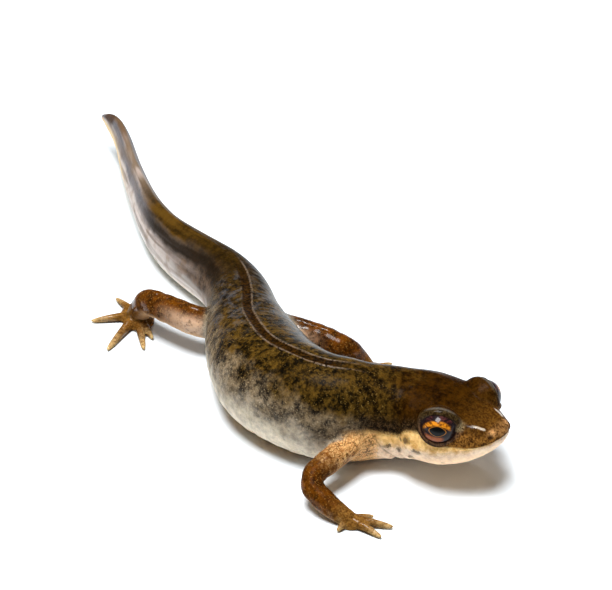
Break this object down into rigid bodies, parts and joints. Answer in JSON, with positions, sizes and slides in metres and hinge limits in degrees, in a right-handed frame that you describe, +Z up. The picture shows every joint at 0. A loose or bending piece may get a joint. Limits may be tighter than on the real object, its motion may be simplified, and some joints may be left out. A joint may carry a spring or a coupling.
{
  "type": "smooth newt",
  "caption": "Life-size still model of a walking smooth newt: four-legged amphibian with a bent trunk, raised head, lidded eyes and a long tail flattened from side to side.",
  "frame": {"origin": "the floor under the middle of the animal's box, at the level of its soles, belly and tail underside", "axes": "+X along the animal's length towards the snout, +Y to its left, +Z up"},
  "size_m": [0.071, 0.0213, 0.0093],
  "materials": {
    "back": "wet satin",
    "head": "wet satin",
    "tail": "wet satin",
    "leg": "wet satin",
    "foot": "wet satin",
    "eye": "wet gloss"
  },
  "bodies": {
    "root": {"head": "head", "eye_right": "eye", "eye_left": "eye", "neck": "back", "chest": "back", "trunk_front": "back", "trunk_rear": "back", "pelvis": "back", "tail_base": "tail", "tail_middle": "tail", "tail_tip": "tail", "foreleg_right_upper": "leg", "foreleg_right_lower": "leg", "foreleg_right_foot": "foot", "foreleg_left_upper": "leg", "foreleg_left_lower": "leg", "foreleg_left_foot": "foot", "hindleg_right_upper": "leg", "hindleg_right_lower": "leg", "hindleg_right_foot": "foot", "hindleg_left_upper": "leg", "hindleg_left_lower": "leg", "hindleg_left_foot": "foot"}
  },
  "joints": []
}
